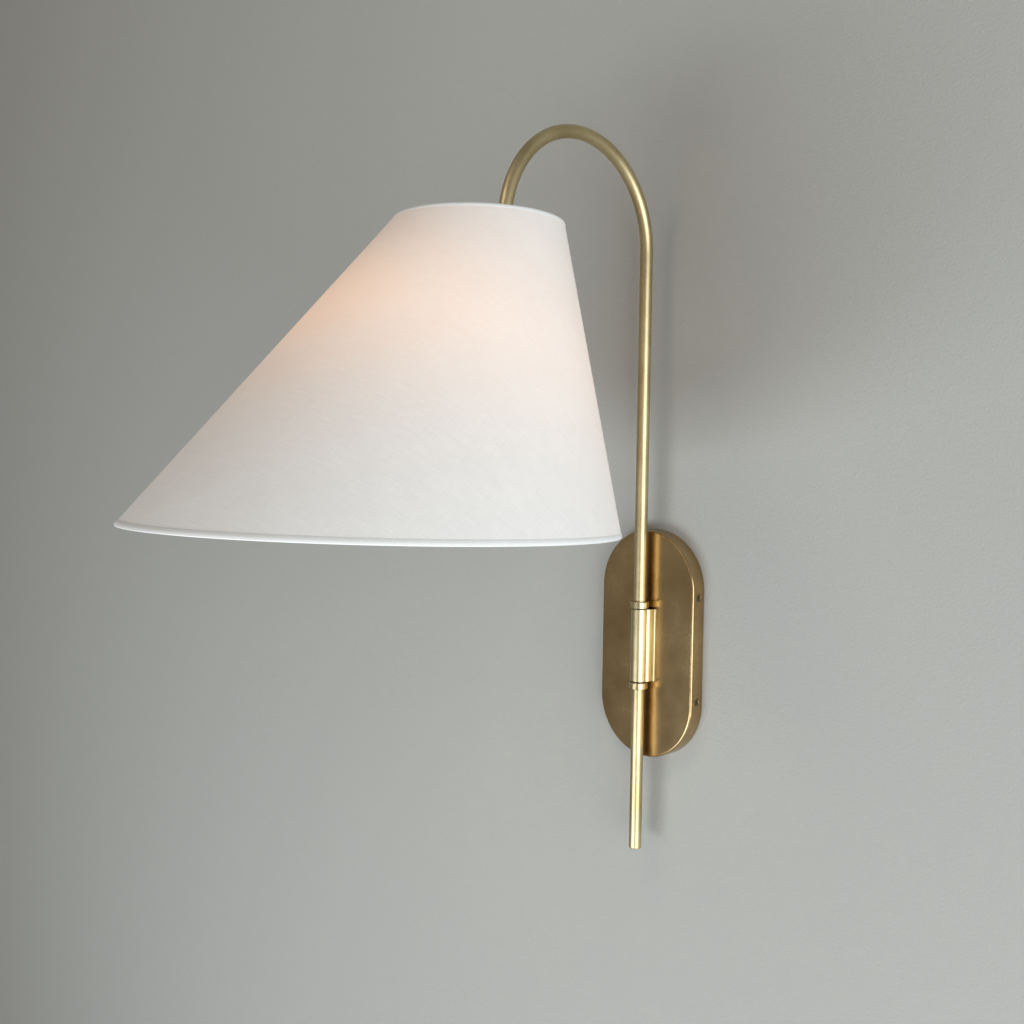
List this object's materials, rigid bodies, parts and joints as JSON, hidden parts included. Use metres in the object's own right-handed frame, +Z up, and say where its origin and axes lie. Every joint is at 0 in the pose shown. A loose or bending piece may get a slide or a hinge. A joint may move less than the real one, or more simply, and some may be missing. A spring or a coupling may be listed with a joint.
{
  "type": "swing arm wall sconce",
  "caption": "Wall light with a lopsided linen cone shade on a bent brass tube that swings in a barrel on a pill-shaped wall plate.",
  "frame": {"origin": "centre of the wall plate's back face, on the wall", "axes": "+Y goes into the wall, -Y out into the room, +Z up along the rod, +X to the right of a person who faces the wall"},
  "size_m": [0.3974, 0.5629, 0.7064],
  "materials": {
    "satin_brass": "satin brushed, aged",
    "raw_brass": "machined",
    "zinc_steel": "zinc plated",
    "green_screw": "green passivated",
    "copper": "bare copper",
    "black_plastic": "matte black",
    "black_phenolic": "moulded, semi-matte",
    "black_lead": "insulated wire",
    "white_lead": "insulated wire",
    "orange_plastic": "moulded",
    "white_plastic": "smooth, semi-gloss",
    "frosted_dome": "frosted, lit",
    "led_board": "white solder mask",
    "aluminium": "drawn",
    "solder": "soldered",
    "ring_wire": "white powder coat",
    "shade_liner": "translucent sheet",
    "white_linen": "plain weave linen",
    "linen_band": "folded linen band"
  },
  "bodies": {
    "wall_base": {"wall_plate": "satin_brass", "mounting_bracket": "zinc_steel", "plate_side_screws": "satin_brass", "ground_screw": "green_screw", "pivot_block": "satin_brass", "pivot_block_screws": "zinc_steel", "upper_bush": "black_plastic", "lower_bush": "black_plastic", "wire_grommet": "black_plastic", "canopy_lead_black": "black_lead", "canopy_lead_white": "white_lead", "ground_lead": "copper", "wire_connectors": "orange_plastic"},
    "arm": {"arm_tube": "satin_brass", "rod_end_plug": "satin_brass", "upper_collar": "satin_brass", "lower_collar": "satin_brass", "collar_set_screws": "zinc_steel", "tube_end_coupler": "satin_brass", "coupler_set_screw": "zinc_steel", "lamp_nipple": "raw_brass", "shade_lock_nut": "raw_brass", "socket_elbow": "satin_brass", "socket_cap": "satin_brass", "socket_cap_nut": "zinc_steel", "socket_body": "black_phenolic", "socket_screw_shell": "raw_brass", "socket_contact": "raw_brass", "terminal_screws": "zinc_steel", "arm_lead_black": "black_lead", "arm_lead_white": "white_lead", "bulb_diffuser": "frosted_dome", "bulb_housing": "white_plastic", "bulb_led_board": "led_board", "bulb_screw_base": "aluminium", "bulb_foot_contact": "solder", "shade_spider": "ring_wire", "shade_bottom_ring": "ring_wire", "shade_liner": "shade_liner", "shade_linen": "white_linen", "shade_top_trim": "linen_band", "shade_bottom_trim": "linen_band"}
  },
  "joints": [
    {"name": "arm_swing", "type": "hinge", "parent": "wall_base", "child": "arm", "pos_m": [0, -0.028, 0], "axis": [0, 0, 1], "range_deg": [-55, 55]}
  ]
}
